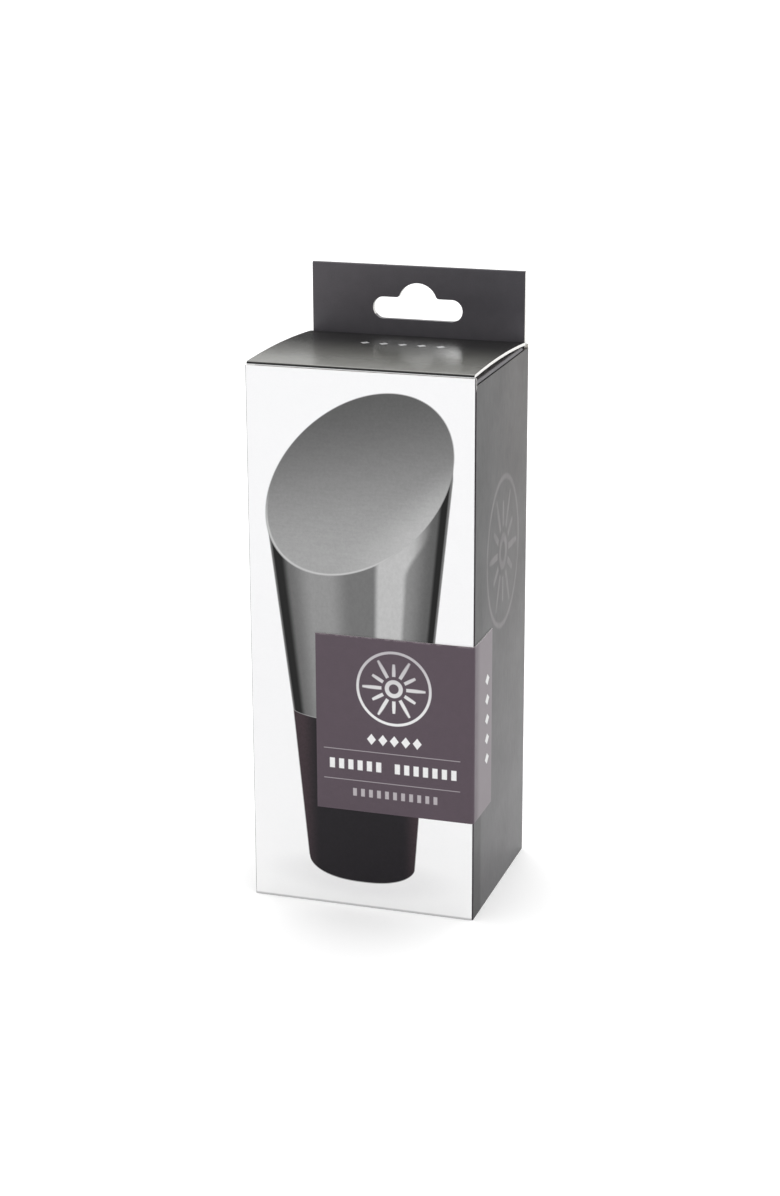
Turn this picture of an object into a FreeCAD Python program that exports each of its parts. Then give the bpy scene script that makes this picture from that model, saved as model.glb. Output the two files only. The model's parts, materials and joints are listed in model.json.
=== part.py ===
"""Bottle stopper in its hang-tab carton.

The carton is folding board: four panels around a tube, a glued bottom, a hang tab of two plies, and a
lid with a tuck flap over two dust flaps. A board cradle inside holds the stopper upright. The stopper
is a solid zinc head with a slanted oval face, over a tapered silicone plug that a screw holds on.

Millimetres. +X is to the right of the front panel, +Y to the back and +Z up. The origin is the centre
of the carton's base.
"""

import FreeCAD, Part
import math
import os

import Sketcher

SIZES = (
    ("head_radius", 15.3, "stopper's head at the highest point of its face"),
    ("head_gap", 0.95, "head to the front panel and to the tab's ply, on average"),
    ("head_side_gap", 4.2, "head to each side panel"),
    ("headroom", 18.6, "face's highest point to the lid's front crease"),
    ("board", 0.5, "thickness of the folding board"),
    ("crease_round", 0.45, "rounding on the outside of a crease"),
    ("crease_gap", 0.1, "slit between two panels at a crease"),
    ("side_drop", 1.25, "side panels' top crease below the front one"),
    ("tab_rise", 11.5, "hang tab above the lid's front crease"),
    ("tab_inset", 0.05, "hang tab's edge inside the side panels' inner faces"),
    ("tab_lap", 8, "front ply's glued lap below the lid"),
    ("slot_width", 16.4, "hang slot, end to end"),
    ("slot_height", 3.9, "height of the slot's two lobes"),
    ("slot_drop", 7.6, "lobes' centre line below the tab's top"),
    ("dome_radius", 3.6, "dome in the middle of the slot"),
    ("dome_drop", 6.6, "dome's centre below the tab's top"),
    ("dome_blend", 0.6, "rounding where the dome meets the lobes"),
    ("lid_drop", 0.8, "lid's rear edge below its front crease"),
    ("lid_arch", 0.5, "rise of the arched lid above its chord"),
    ("lid_setback", 0.15, "lid's front edge behind the front face"),
    ("lid_side_gap", 0.3, "lid's side edge inside the carton's side"),
    ("lid_rear_gap", 0.35, "lid's rear edge in front of the tab"),
    ("tuck_length", 11, "tuck flap, crease to tip"),
    ("tuck_slant", 16, "degrees the tuck leans in at rest"),
    ("tuck_inset", 1.5, "tuck's side edge inside the lid's"),
    ("tuck_corner", 4, "rounding of the tuck's two corners"),
    ("tuck_root", 0.2, "slit between the lid and the tuck"),
    ("dust_length", 12.5, "dust flap, crease to tip"),
    ("dust_setback", 0.2, "dust flap's crease edge inside the side"),
    ("dust_front", 1.3, "dust flap's front corner behind the front face"),
    ("dust_taper", 1.09, "slope of the dust flap's front edge"),
    ("dust_rear", 3.5, "dust flap's rear corner ahead of the rear face"),
    ("dust_tip_relief", 2, "how much further ahead the tip is there"),
    ("glue_width", 9, "glue flap inside the back panel"),
    ("glue_base", 8, "glue flap's lower end above the base"),
    ("glue_bevel", 4, "how far its two ends slope"),
    ("floor_gap", 0.1, "bottom flap's free edge to the panel beside it"),
    ("inner_flap_reach", 22, "inner bottom flap, crease to edge"),
    ("floor_dust_reach", 14, "bottom dust flaps, crease to edge"),
    ("floor_dust_bevel", 3, "how far their corners are cut back"),
    ("label_front_reach", 28.1, "label on the front panel, from the corner"),
    ("label_side_reach", 11, "label on the right panel, from the corner"),
    ("label_base", 18, "label's lower edge above the base"),
    ("label_height", 31.8, "label, bottom to top"),
    ("label_paper", 0.12, "thickness of the label"),
    ("cradle_height", 22, "top of the cradle's deck"),
    ("cradle_gap", 0.3, "cradle to the panels around it"),
    ("cradle_hole_gap", 0.3, "deck's hole outside the plug, on the radius"),
    ("standing_gap", 0.2, "plug's end above the carton's floor"),
    ("plug_end_radius", 8.8, "plug's lower end"),
    ("joint_radius", 11, "where the plug meets the head"),
    ("plug_height", 27, "plug's end to the head"),
    ("plug_round", 1.4, "rounding of the plug's lower edge"),
    ("face_centre", 65, "slanted face above the plug's end, on the axis"),
    ("face_angle", 35, "slope of the face in degrees"),
    ("face_heading", 59, "degrees from +X to the face's uphill side"),
    ("spigot_radius", 5, "head's spigot inside the plug"),
    ("spigot_length", 20, "spigot below the joint"),
    ("recess_radius", 6.4, "recess in the plug's end"),
    ("recess_depth", 4.2, "depth of that recess"),
    ("washer_radius", 5.8, "washer in the recess"),
    ("washer_thickness", 1, "washer"),
    ("screw_radius", 2, "screw's shank"),
    ("screw_play", 0.2, "clearance holes outside the shank, on the radius"),
    ("screw_head_radius", 3.6, "screw's head"),
    ("screw_head_height", 2.2, "screw's head"),
    ("screw_length", 12, "shank below the screw's head"),
    ("screw_socket", 1.45, "hexagon socket, centre to corner"),
    ("socket_depth", 1.3, "hexagon socket"),
    ("spigot_hole_depth", 12, "screw's hole in the spigot"),
)

# Distances used by more than one piece, as expressions on the sizes above. The carton is cut to fit the
# stopper, whose head sets its width and depth and whose height sets its height.
FLOOR_TOP = "(3 * sizes.board)"
STOPPER_BASE = "(3 * sizes.board + sizes.standing_gap)"
FACE_TOP = "(sizes.face_centre + sizes.head_radius * tan(sizes.face_angle))"
WIDTH = "(2 * (sizes.head_radius + sizes.head_side_gap + sizes.board))"
DEPTH = "(2 * (sizes.head_radius + sizes.head_gap) + 3 * sizes.board)"
HEIGHT = "(%s + %s + sizes.headroom)" % (STOPPER_BASE, FACE_TOP)
HALF_WIDTH = WIDTH + " / 2"
HALF_DEPTH = DEPTH + " / 2"
INNER_HALF_WIDTH = "(sizes.head_radius + sizes.head_side_gap)"
INNER_DEPTH = "(%s - 2 * sizes.board)" % DEPTH
LID_AXIS_HEIGHT = "(%s - sizes.board)" % HEIGHT
DUST_AXIS_HEIGHT = "(%s - sizes.side_drop - sizes.board)" % HEIGHT
LID_DEPTH = "(%s - 2 * sizes.board - sizes.lid_rear_gap)" % DEPTH
LID_WIDTH = "(%s - 2 * sizes.lid_side_gap)" % WIDTH
TAB_INSET = "(sizes.board + sizes.tab_inset)"
TAB_WIDTH = "(%s - 2 * %s)" % (WIDTH, TAB_INSET)
TAB_TOP = "(%s + sizes.tab_rise)" % HEIGHT
PLUG_SLOPE = "((sizes.joint_radius - sizes.plug_end_radius) / sizes.plug_height)"

TOLERANCE = 1e-3

# Rotations from a plate's own plane (x along, y up, z out of its face) to where it stands.
FACING_FRONT = FreeCAD.Rotation(FreeCAD.Vector(1, 0, 0), 90)
FACING_RIGHT = FreeCAD.Rotation(FreeCAD.Vector(1, 1, 1), 120)
FACING_BACK = FreeCAD.Rotation(FreeCAD.Vector(0, 1, 1), 180)
FACING_LEFT = FreeCAD.Rotation(FreeCAD.Vector(-1, 1, 1), 240)
FLAT = FreeCAD.Rotation()


# The document

def open_document():
    document = FreeCAD.newDocument("boxed_stopper")
    sheet = document.addObject("Spreadsheet::Sheet", "sizes")
    for row, (alias, number, note) in enumerate(SIZES, start=1):
        sheet.set("A%d" % row, alias)
        sheet.set("B%d" % row, str(number))
        sheet.set("C%d" % row, note)
        sheet.setAlias("B%d" % row, alias)
    document.recompute()
    return document


def start_body(document, name, rotation, place):
    """Adds an empty body. place holds the three expressions of its origin."""
    body = document.addObject("PartDesign::Body", name)
    body.Label = name
    body.Placement = FreeCAD.Placement(FreeCAD.Vector(), rotation)
    for axis, expression in zip("xyz", place):
        body.setExpression("Placement.Base." + axis, expression)
    return body


# Sketches

def start_sketch(body, name, plane="XY_Plane"):
    sketch = body.newObject("Sketcher::SketchObject", body.Name + "_" + name)
    origin_plane = [item for item in body.Origin.OriginFeatures if item.Role == plane][0]
    sketch.AttachmentSupport = (origin_plane, "")
    sketch.MapMode = "FlatFace"
    return sketch


def value(sketch, expression):
    return float(sketch.evalExpression(str(expression)))


def constrain(sketch, constraint, expression):
    index = sketch.addConstraint(constraint)
    sketch.setExpression("Constraints[%d]" % index, str(expression))


def fix_point(sketch, geometry, position, place, corner):
    """Holds one point of the sketch at a pair of expressions, measured from its origin."""
    for kind, number, expression in zip(("DistanceX", "DistanceY"), place, corner):
        constrain(sketch, Sketcher.Constraint(kind, -1, 1, geometry, position, number), expression)


def arc_between(first, last, radius, turn):
    """The short arc from first to last; turn is 1 if it runs counterclockwise, -1 if clockwise."""
    chord = last - first
    reach = math.sqrt(max(radius ** 2 - (chord.Length / 2) ** 2, 0))
    across = FreeCAD.Vector(-chord.y, chord.x, 0).normalize()
    centre = (first + last) * 0.5 + across * reach * turn
    start, end = (first, last) if turn > 0 else (last, first)
    angles = [math.atan2(point.y - centre.y, point.x - centre.x) for point in (start, end)]
    return Part.ArcOfCircle(Part.Circle(centre, FreeCAD.Vector(0, 0, 1), radius), *angles)


def add_outline(sketch, corners, arcs=None):
    """Adds a closed outline. corners are pairs of expressions, and arcs gives the edges that are arcs:
    the edge's number, with its radius as an expression and its turn."""
    arcs = arcs or {}
    places = [FreeCAD.Vector(value(sketch, x), value(sketch, y), 0) for x, y in corners]
    first_edge = sketch.GeometryCount
    ends = []
    for number, first in enumerate(places):
        last = places[(number + 1) % len(places)]
        if number in arcs:
            radius, turn = arcs[number]
            sketch.addGeometry(arc_between(first, last, value(sketch, radius), turn), False)
            ends.append((1, 2) if turn > 0 else (2, 1))
        else:
            sketch.addGeometry(Part.LineSegment(first, last), False)
            ends.append((1, 2))
    for number, corner in enumerate(corners):
        edge = first_edge + number
        before = (number - 1) % len(corners)
        joint = (first_edge + before, ends[before][1], edge, ends[number][0])
        sketch.addConstraint(Sketcher.Constraint("Coincident", *joint))
        fix_point(sketch, edge, ends[number][0], (places[number].x, places[number].y), corner)
    for number, (radius, turn) in arcs.items():
        constraint = Sketcher.Constraint("Radius", first_edge + number, value(sketch, radius))
        constrain(sketch, constraint, radius)


def add_rectangle(sketch, left, bottom, right, top):
    add_outline(sketch, [(left, bottom), (right, bottom), (right, top), (left, top)])


def add_circle(sketch, x, y, radius):
    centre = FreeCAD.Vector(value(sketch, x), value(sketch, y), 0)
    circle = Part.Circle(centre, FreeCAD.Vector(0, 0, 1), value(sketch, radius))
    number = sketch.addGeometry(circle, False)
    fix_point(sketch, number, 3, (centre.x, centre.y), (x, y))
    constrain(sketch, Sketcher.Constraint("Radius", number, circle.Radius), radius)


# Features

def pad(body, sketch, length):
    feature = body.newObject("PartDesign::Pad", sketch.Name + "_pad")
    feature.Profile = sketch
    feature.setExpression("Length", length)
    sketch.Document.recompute()
    return feature


def pocket(body, sketch, depth=None, midplane=False):
    """Cuts along the sketch's normal, through the whole piece unless a depth is given. With midplane,
    it cuts both ways from the sketch."""
    before = body.Shape.Volume
    feature = body.newObject("PartDesign::Pocket", sketch.Name + "_pocket")
    feature.Profile = sketch
    feature.Reversed = not midplane
    feature.Midplane = midplane
    if depth is None:
        feature.Type = "ThroughAll"
    else:
        feature.setExpression("Length", depth)
    sketch.Document.recompute()
    if not body.Shape.Volume < before:
        raise RuntimeError("%s cuts nothing" % feature.Name)
    return feature


def revolve(body, sketch):
    feature = body.newObject("PartDesign::Revolution", sketch.Name + "_turned")
    feature.Profile = sketch
    feature.ReferenceAxis = (sketch, ["V_Axis"])
    feature.Angle = 360
    sketch.Document.recompute()
    return feature


def dress(body, kind, wanted, size):
    """Rounds or bevels the edges of the body's last feature that wanted(edge) picks."""
    base = body.Tip
    names = ["Edge%d" % number for number, edge in enumerate(base.Shape.Edges, start=1) if wanted(edge)]
    if not names:
        raise RuntimeError("%s has no edge to dress" % body.Name)
    feature = body.newObject("PartDesign::" + kind, body.Name + "_" + kind + "_%d" % len(body.Group))
    feature.Base = (base, names)
    feature.setExpression("Radius" if kind == "Fillet" else "Size", size)
    body.Document.recompute()
    return feature


def edges_through(point):
    """A picker for the edges whose middle has the given local coordinates, where None is any."""
    def wanted(edge):
        middle = edge.BoundBox.Center
        pairs = zip(point, (middle.x, middle.y, middle.z))
        return all(number is None or abs(number - place) < TOLERANCE for number, place in pairs)
    return wanted


# Carton panels

def plate(document, name, rotation, place, corners, arcs=None):
    """A flat piece of board with the given outline."""
    body = start_body(document, name, rotation, place)
    sketch = start_sketch(body, "outline")
    add_outline(sketch, corners, arcs)
    pad(body, sketch, "sizes.board")
    return body


def rectangle(left, bottom, right, top):
    return [(left, bottom), (right, bottom), (right, top), (left, top)]


def round_outer_edges(body, coordinates):
    """Rounds the outside edges of a plate that lie at the given local x (axis 0) or y (axis 1)."""
    for axis, place in coordinates:
        point = [None, None, value(body, "sizes.board")]
        point[axis] = value(body, place)
        dress(body, "Fillet", edges_through(point), "sizes.crease_round")


def front_panel(document):
    place = ("-" + HALF_WIDTH, "sizes.board - " + HALF_DEPTH, "0")
    top = LID_AXIS_HEIGHT + " - sizes.crease_gap"
    body = plate(document, "front_panel", FACING_FRONT, place, rectangle("0", "0", WIDTH, top))
    round_outer_edges(body, ((0, "0"), (0, WIDTH)))


def side_panel(document, name, rotation, x, y):
    top = DUST_AXIS_HEIGHT + " - sizes.crease_gap"
    plate(document, name, rotation, (x, y, "0"), rectangle("0", "0", INNER_DEPTH, top))


def cut_hang_slot(body, middle, tab_top):
    """Cuts the hang slot: two rounded lobes with a dome between them."""
    lobes = start_sketch(body, "slot_lobes")
    centre = "(%s - sizes.slot_drop)" % tab_top
    radius = "sizes.slot_height / 2"
    left = "%s - sizes.slot_width / 2" % middle
    right = "%s + sizes.slot_width / 2" % middle
    low = "%s - %s" % (centre, radius)
    high = "%s + %s" % (centre, radius)
    corners = [("%s + %s" % (left, radius), low), ("%s - %s" % (right, radius), low), (right, centre)]
    corners += [("%s - %s" % (right, radius), high), ("%s + %s" % (left, radius), high), (left, centre)]
    add_outline(lobes, corners, {edge: (radius, 1) for edge in (1, 2, 4, 5)})
    pocket(body, lobes)
    dome = start_sketch(body, "slot_dome")
    base = "%s - sizes.dome_drop" % tab_top
    dome_radius = "sizes.dome_radius"
    corners = [("%s - %s" % (middle, dome_radius), base), ("%s + %s" % (middle, dome_radius), base)]
    corners += [(middle, "%s + %s" % (base, dome_radius))]
    add_outline(dome, corners, {edge: (dome_radius, 1) for edge in (1, 2)})
    pocket(body, dome)
    blend_slot(body, value(dome, middle), value(dome, high))


def blend_slot(body, middle, lobe_top):
    """Rounds the two corners where the dome rises out of the lobes."""
    dome_radius = value(body, "sizes.dome_radius")

    def corner(edge):
        centre = edge.BoundBox.Center
        upright = max(edge.BoundBox.XLength, edge.BoundBox.YLength) < TOLERANCE
        beside = abs(centre.x - middle) < dome_radius
        return upright and beside and abs(centre.y - lobe_top) < TOLERANCE

    dress(body, "Fillet", corner, "sizes.dome_blend")


def back_panel(document):
    shoulder = "(%s - sizes.side_drop)" % HEIGHT
    tab_edge = "%s - %s" % (WIDTH, TAB_INSET)
    corners = [("0", "0"), (WIDTH, "0"), (WIDTH, shoulder)]
    corners += [(tab_edge, shoulder), (tab_edge, TAB_TOP), (TAB_INSET, TAB_TOP)]
    corners += [(TAB_INSET, shoulder), ("0", shoulder)]
    place = (HALF_WIDTH, HALF_DEPTH + " - sizes.board", "0")
    body = plate(document, "back_panel", FACING_BACK, place, corners)
    round_outer_edges(body, ((0, "0"), (0, WIDTH), (1, TAB_TOP)))
    cut_hang_slot(body, HALF_WIDTH, TAB_TOP)


def hang_tab_ply(document):
    place = (TAB_INSET + " - " + HALF_WIDTH, HALF_DEPTH + " - sizes.board",
             HEIGHT + " - sizes.tab_lap")
    height = "(sizes.tab_lap + sizes.tab_rise)"
    body = plate(document, "hang_tab_ply", FACING_FRONT, place, rectangle("0", "0", TAB_WIDTH, height))
    round_outer_edges(body, ((1, height),))
    cut_hang_slot(body, TAB_WIDTH + " / 2", height)


def glue_flap(document):
    length = "(%s - sizes.tab_lap - sizes.glue_base - sizes.crease_gap)" % HEIGHT
    corners = [("0", "0"), ("sizes.glue_width", "sizes.glue_bevel")]
    corners += [("sizes.glue_width", length + " - sizes.glue_bevel"), ("0", length)]
    place = ("-" + INNER_HALF_WIDTH, HALF_DEPTH + " - sizes.board", "sizes.glue_base")
    plate(document, "glue_flap", FACING_FRONT, place, corners)


def label(document):
    """The label goes round the front right corner, outside the crease's rounding."""
    body = start_body(document, "label", FLAT, (HALF_WIDTH, "-" + HALF_DEPTH, "sizes.label_base"))
    bend = "sizes.crease_round"
    outer = "(sizes.crease_round + sizes.label_paper)"
    corners = [("-sizes.label_front_reach", "-sizes.label_paper"), ("-" + bend, "-sizes.label_paper")]
    corners += [("sizes.label_paper", bend), ("sizes.label_paper", "sizes.label_side_reach")]
    corners += [("0", "sizes.label_side_reach"), ("0", bend), ("-" + bend, "0")]
    corners += [("-sizes.label_front_reach", "0")]
    sketch = start_sketch(body, "wrap")
    add_outline(sketch, corners, {1: (outer, 1), 5: (bend, -1)})
    pad(body, sketch, "sizes.label_height")


# Carton bottom, glued shut

def bottom_flaps(document):
    gap = "sizes.floor_gap"
    width = "2 * (%s - %s)" % (INNER_HALF_WIDTH, gap)
    start = ("%s - %s" % (gap, INNER_HALF_WIDTH), "sizes.board - " + HALF_DEPTH, "0")
    outline = rectangle("0", "0", width, "%s - %s" % (INNER_DEPTH, gap))
    plate(document, "bottom_outer_flap", FLAT, start, outline)
    near = "%s - sizes.inner_flap_reach" % INNER_DEPTH
    start = (start[0], start[1], "sizes.board")
    plate(document, "bottom_inner_flap", FLAT, start, rectangle("0", near, width, INNER_DEPTH))


def bottom_dust_flap(document, name, side):
    """side is -1 for the flap on the left panel and 1 for the one on the right."""
    inward = "%d * sizes.floor_dust_reach" % -side
    corners = [("0", "sizes.floor_gap"), (inward, "sizes.floor_gap + sizes.floor_dust_bevel")]
    corners += [(inward, "%s - sizes.floor_gap - sizes.floor_dust_bevel" % INNER_DEPTH)]
    corners += [("0", "%s - sizes.floor_gap" % INNER_DEPTH)]
    place = ("%d * %s" % (side, INNER_HALF_WIDTH), "sizes.board - " + HALF_DEPTH, "2 * sizes.board")
    plate(document, name, FLAT, place, corners)


# Carton top, which opens

def top_lid(document):
    """The arched lid. Its sketch is its side view, from the crease at the front face backwards."""
    place = ("sizes.lid_side_gap - " + HALF_WIDTH, "-" + HALF_DEPTH, LID_AXIS_HEIGHT)
    body = start_body(document, "top_lid", FACING_RIGHT, place)
    chord = "(%s - sizes.lid_setback)" % LID_DEPTH
    under = "((%s ^ 2 + sizes.lid_drop ^ 2) / (8 * sizes.lid_arch) + sizes.lid_arch / 2)" % chord
    corners = [("sizes.lid_setback", "0"), (LID_DEPTH, "-sizes.lid_drop")]
    corners += [(LID_DEPTH, "sizes.board - sizes.lid_drop"), ("sizes.lid_setback", "sizes.board")]
    sketch = start_sketch(body, "side_view")
    add_outline(sketch, corners, {0: (under, -1), 2: (under, 1)})
    pad(body, sketch, LID_WIDTH)
    for end in (corners[3], corners[2]):
        point = (value(body, end[0]), value(body, end[1]), None)
        dress(body, "Fillet", edges_through(point), "sizes.crease_round")


def top_tuck(document):
    """The tuck hangs from the lid's rear edge and leans in. Its sketch's y axis runs up to the crease."""
    place = ("-" + HALF_WIDTH, "%s - %s" % (LID_DEPTH, HALF_DEPTH), LID_AXIS_HEIGHT + " - sizes.lid_drop")
    body = start_body(document, "top_tuck", FACING_FRONT, place)
    body.setExpression("Placement.Rotation.Angle", "90 - sizes.tuck_slant")
    left = "(sizes.lid_side_gap + sizes.tuck_inset)"
    right = "(%s - %s)" % (WIDTH, left)
    corner = "sizes.tuck_corner"
    tip = "-sizes.tuck_length"
    corners = [("%s + %s" % (left, corner), tip), ("%s - %s" % (right, corner), tip)]
    corners += [(right, "%s + %s" % (tip, corner)), (right, "-sizes.tuck_root")]
    corners += [(left, "-sizes.tuck_root"), (left, "%s + %s" % (tip, corner))]
    sketch = start_sketch(body, "outline")
    add_outline(sketch, corners, {1: (corner, 1), 5: (corner, 1)})
    pad(body, sketch, "sizes.board")


def top_dust_flap(document, name, side):
    """side is -1 for the flap on the left panel and 1 for the one on the right. Its front edge slopes
    back, so that it stays under the lid while both swing open."""
    root = "%d * sizes.dust_setback" % -side
    tip = "%d * sizes.dust_length" % -side
    tip_front = "sizes.dust_front + sizes.dust_taper * sizes.dust_length"
    root_rear = "%s - sizes.dust_rear" % DEPTH
    corners = [(root, "sizes.dust_front"), (tip, tip_front)]
    corners += [(tip, root_rear + " - sizes.dust_tip_relief"), (root, root_rear)]
    place = ("%d * %s" % (side, HALF_WIDTH), "-" + HALF_DEPTH, DUST_AXIS_HEIGHT)
    body = plate(document, name, FLAT, place, corners)
    round_outer_edges(body, ((0, root),))


# Cradle

def cradle(document):
    """A deck with a round hole for the plug, on two legs that stand on the bottom dust flaps."""
    gap = "sizes.cradle_gap"
    width = "(2 * (%s - %s))" % (INNER_HALF_WIDTH, gap)
    depth = "(%s - sizes.board - 2 * %s)" % (INNER_DEPTH, gap)
    left = "%s - %s" % (gap, INNER_HALF_WIDTH)
    front = "sizes.board + %s - %s" % (gap, HALF_DEPTH)
    under = "sizes.cradle_height - sizes.board"
    deck = plate(document, "cradle_deck", FLAT, (left, front, under), rectangle("0", "0", width, depth))
    hole = start_sketch(deck, "plug_hole")
    plug_radius = "sizes.plug_end_radius + %s * (sizes.cradle_height - %s)" % (PLUG_SLOPE, STOPPER_BASE)
    x = width + " / 2"
    y = "%s - sizes.board - %s" % (HALF_DEPTH, gap)
    add_circle(hole, x, y, plug_radius + " + sizes.cradle_hole_gap")
    pocket(deck, hole)
    leg = rectangle("0", "0", depth, "%s - %s" % (under, FLOOR_TOP))
    right = "%s - %s - sizes.board" % (INNER_HALF_WIDTH, gap)
    plate(document, "cradle_leg_left", FACING_RIGHT, (left, front, FLOOR_TOP), leg)
    plate(document, "cradle_leg_right", FACING_RIGHT, (right, front, FLOOR_TOP), leg)


# Stopper. Its pieces are drawn from the plug's end upwards, and stand on the carton's floor.

def stopper_piece(document, name):
    return start_body(document, name, FLAT, ("0", "0", STOPPER_BASE))


def stopper_head(document):
    """A flared round bar on a spigot, cut off by a sloping plane that rises along its own x axis."""
    body = stopper_piece(document, "stopper_head")
    body.setExpression("Placement.Rotation.Angle", "sizes.face_heading")
    spigot_end = "(sizes.plug_height - sizes.spigot_length)"
    hole_top = "%s + sizes.spigot_hole_depth" % spigot_end
    blank_top = "(2 * %s - sizes.plug_height)" % FACE_TOP
    blank_radius = "(2 * sizes.head_radius - sizes.joint_radius)"
    corners = [("0", hole_top), ("sizes.screw_radius", hole_top), ("sizes.screw_radius", spigot_end)]
    corners += [("sizes.spigot_radius", spigot_end), ("sizes.spigot_radius", "sizes.plug_height")]
    corners += [("sizes.joint_radius", "sizes.plug_height"), (blank_radius, blank_top), ("0", blank_top)]
    profile = start_sketch(body, "profile", "XZ_Plane")
    add_outline(profile, corners)
    revolve(body, profile)
    waste = start_sketch(body, "slanted_cut", "XZ_Plane")
    edge = "(2 * sizes.head_radius)"
    rise = "(%s * tan(sizes.face_angle))" % edge
    corners = [("-" + edge, "sizes.face_centre - " + rise), (edge, "sizes.face_centre + " + rise)]
    corners += [(edge, "2 * " + FACE_TOP), ("-" + edge, "2 * " + FACE_TOP)]
    add_outline(waste, corners)
    pocket(body, waste, midplane=True)


def silicone_plug(document):
    body = stopper_piece(document, "silicone_plug")
    spigot_end = "(sizes.plug_height - sizes.spigot_length)"
    hole = "(sizes.screw_radius + sizes.screw_play)"
    corners = [("sizes.recess_radius", "0"), ("sizes.plug_end_radius", "0")]
    corners += [("sizes.joint_radius", "sizes.plug_height"), ("sizes.spigot_radius", "sizes.plug_height")]
    corners += [("sizes.spigot_radius", spigot_end), (hole, spigot_end), (hole, "sizes.recess_depth")]
    corners += [("sizes.recess_radius", "sizes.recess_depth")]
    profile = start_sketch(body, "profile", "XZ_Plane")
    add_outline(profile, corners)
    revolve(body, profile)
    end_radius = value(body, "sizes.plug_end_radius")

    def lower_edge(edge):
        return edge.BoundBox.ZMax < TOLERANCE and abs(edge.BoundBox.XMax - end_radius) < TOLERANCE

    dress(body, "Fillet", lower_edge, "sizes.plug_round")


def plug_washer(document):
    body = stopper_piece(document, "plug_washer")
    sketch = start_sketch(body, "profile", "XZ_Plane")
    bottom = "sizes.recess_depth - sizes.washer_thickness"
    add_rectangle(sketch, "sizes.screw_radius + sizes.screw_play", bottom, "sizes.washer_radius",
                  "sizes.recess_depth")
    revolve(body, sketch)


def plug_screw(document):
    body = stopper_piece(document, "plug_screw")
    seat = "(sizes.recess_depth - sizes.washer_thickness)"
    under = "(%s - sizes.screw_head_height)" % seat
    tip = "(%s + sizes.screw_length)" % seat
    rounding = "(sizes.screw_head_height / 2)"
    corners = [("0", under), ("sizes.screw_head_radius - %s" % rounding, under)]
    corners += [("sizes.screw_head_radius", "%s + %s" % (under, rounding))]
    corners += [("sizes.screw_head_radius", seat), ("sizes.screw_radius", seat)]
    corners += [("sizes.screw_radius", tip), ("0", tip)]
    profile = start_sketch(body, "profile", "XZ_Plane")
    add_outline(profile, corners, {1: (rounding, 1)})
    revolve(body, profile)
    socket = start_sketch(body, "socket")
    turns = ["cos(%d)" % angle for angle in range(0, 360, 60)]
    rises = ["sin(%d)" % angle for angle in range(0, 360, 60)]
    hexagon = [("sizes.screw_socket * " + x, "sizes.screw_socket * " + y) for x, y in zip(turns, rises)]
    add_outline(socket, hexagon)
    pocket(body, socket, "%s + sizes.socket_depth" % under)


# Build and write

def build(document):
    front_panel(document)
    side_panel(document, "right_panel", FACING_RIGHT, INNER_HALF_WIDTH, "sizes.board - " + HALF_DEPTH)
    side_panel(document, "left_panel", FACING_LEFT, "-" + INNER_HALF_WIDTH, HALF_DEPTH + " - sizes.board")
    back_panel(document)
    hang_tab_ply(document)
    glue_flap(document)
    label(document)
    bottom_flaps(document)
    bottom_dust_flap(document, "bottom_dust_left", -1)
    bottom_dust_flap(document, "bottom_dust_right", 1)
    top_lid(document)
    top_tuck(document)
    top_dust_flap(document, "top_dust_left", -1)
    top_dust_flap(document, "top_dust_right", 1)
    cradle(document)
    stopper_head(document)
    silicone_plug(document)
    plug_washer(document)
    plug_screw(document)
    document.recompute()


def check(document):
    for item in document.Objects:
        if {"Invalid", "Error"} & set(item.State):
            raise RuntimeError("%s failed: %s" % (item.Name, item.State))
    pieces = [item for item in document.Objects if item.TypeId == "PartDesign::Body"]
    for piece in pieces:
        if piece.Shape.isNull() or not piece.Shape.isValid() or len(piece.Shape.Solids) != 1:
            raise RuntimeError("%s is not one valid solid" % piece.Label)
    return pieces


def main():
    document = open_document()
    build(document)
    pieces = check(document)
    os.makedirs("parts", exist_ok=True)
    for piece in pieces:
        piece.Shape.exportStep("parts/%s.step" % piece.Label)
        print("%s: %.1f mm3" % (piece.Label, piece.Shape.Volume))


main()
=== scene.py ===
"""Looks, light and camera for the boxed bottle stopper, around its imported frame.

Metres in the frame, millimetres in the materials. The carton's printing is drawn by shader maths in
each panel's own coordinates. All marks on it are plain geometric ornaments.
"""

import json
import math

import bmesh
import bpy
from mathutils import Matrix, Vector

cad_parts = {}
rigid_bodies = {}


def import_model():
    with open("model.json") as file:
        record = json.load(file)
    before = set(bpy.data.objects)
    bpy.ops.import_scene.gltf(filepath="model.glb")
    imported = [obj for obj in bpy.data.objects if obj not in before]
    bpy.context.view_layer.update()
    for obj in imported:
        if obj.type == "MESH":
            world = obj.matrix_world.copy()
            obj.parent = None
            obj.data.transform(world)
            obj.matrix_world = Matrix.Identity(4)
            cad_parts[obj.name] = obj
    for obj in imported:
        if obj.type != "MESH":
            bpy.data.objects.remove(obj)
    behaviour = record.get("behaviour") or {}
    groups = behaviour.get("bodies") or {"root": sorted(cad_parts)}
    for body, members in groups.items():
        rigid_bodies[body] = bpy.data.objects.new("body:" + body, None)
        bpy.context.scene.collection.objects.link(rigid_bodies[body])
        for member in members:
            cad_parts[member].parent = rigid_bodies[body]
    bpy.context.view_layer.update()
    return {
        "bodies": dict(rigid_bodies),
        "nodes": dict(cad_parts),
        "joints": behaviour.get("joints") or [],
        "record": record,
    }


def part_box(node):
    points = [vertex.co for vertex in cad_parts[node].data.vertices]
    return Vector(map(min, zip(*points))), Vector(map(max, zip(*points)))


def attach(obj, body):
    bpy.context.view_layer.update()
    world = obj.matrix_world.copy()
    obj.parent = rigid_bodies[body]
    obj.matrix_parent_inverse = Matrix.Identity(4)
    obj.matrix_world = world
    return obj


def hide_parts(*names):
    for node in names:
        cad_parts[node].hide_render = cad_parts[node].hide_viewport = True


MM = 0.001
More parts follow.
